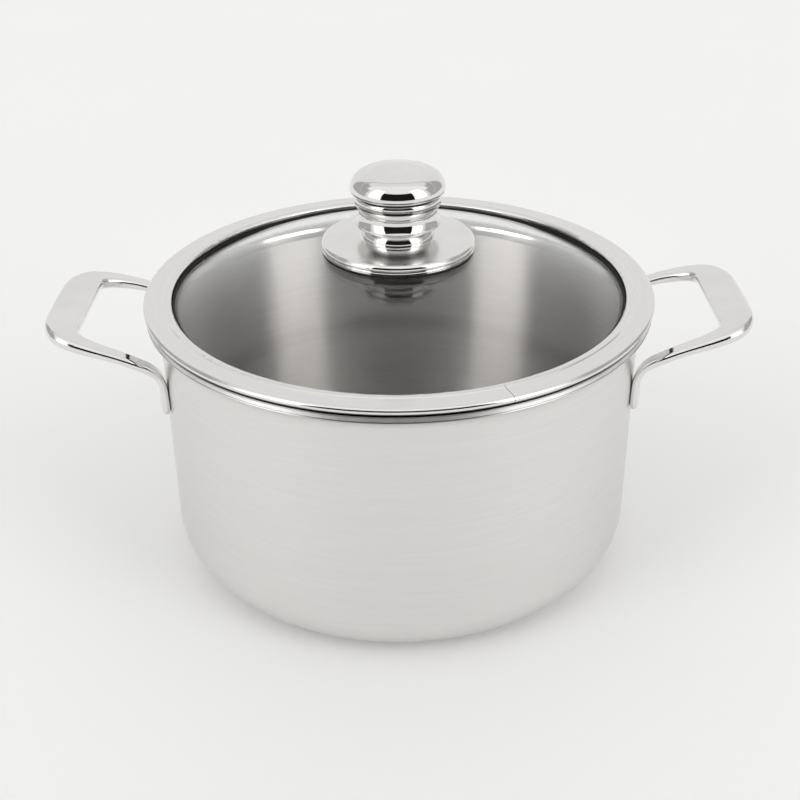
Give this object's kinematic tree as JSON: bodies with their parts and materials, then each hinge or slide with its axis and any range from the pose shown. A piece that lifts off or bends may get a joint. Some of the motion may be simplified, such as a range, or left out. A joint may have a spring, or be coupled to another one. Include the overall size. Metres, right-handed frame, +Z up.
{
  "type": "stock pot",
  "caption": "Round clad cooking pot with flared lip, cast loop handles at the sides, and a lift-off domed glass lid with steel rim and polished knob.",
  "frame": {"origin": "centre of the pot's base, on the surface it stands on", "axes": "+Z up along the pot's axis; the two handles lie along +X and -X"},
  "size_m": [0.3486, 0.2532, 0.2036],
  "materials": {
    "pot_steel": "satin brushed stainless steel, fine level brushing",
    "core_aluminium": "bonded core, seen only as a line at the lip",
    "liner_steel": "satin stainless steel, brushed round the wall",
    "handle_steel": "cast stainless steel, finely polished",
    "rim_steel": "roll-formed stainless steel, satin polish",
    "seal_rubber": "black silicone",
    "gasket_rubber": "black silicone",
    "lid_glass": "clear tempered glass",
    "knob_steel": "mirror-polished stainless steel",
    "core_plastic": "moulded phenolic",
    "insert_brass": "turned",
    "screw_steel": "plain stainless steel"
  },
  "bodies": {
    "pot": {"pot_outer_skin": "pot_steel", "pot_aluminium_core": "core_aluminium", "pot_inner_liner": "liner_steel", "handle_right": "handle_steel", "handle_left": "handle_steel"},
    "lid": {"lid_rim": "rim_steel", "lid_seal": "seal_rubber", "lid_glass": "lid_glass", "knob_base": "knob_steel", "knob_base_gasket": "gasket_rubber", "glass_bush": "gasket_rubber", "spacer_tube": "screw_steel", "glass_washer_silicone": "gasket_rubber", "screw_washer_steel": "screw_steel", "knob_screw": "screw_steel"},
    "knob": {"knob_collar": "knob_steel", "knob_cap": "knob_steel", "knob_core": "core_plastic", "knob_insert": "insert_brass"}
  },
  "joints": [
    {"name": "lid_lift", "type": "slide", "parent": "pot", "child": "lid", "axis": [0, 0, 1], "range_m": [0, 0.15]},
    {"name": "knob_turn", "type": "hinge", "parent": "lid", "child": "knob", "pos_m": [0, 0, 0.19], "axis": [0, 0, 1], "continuous": true}
  ]
}
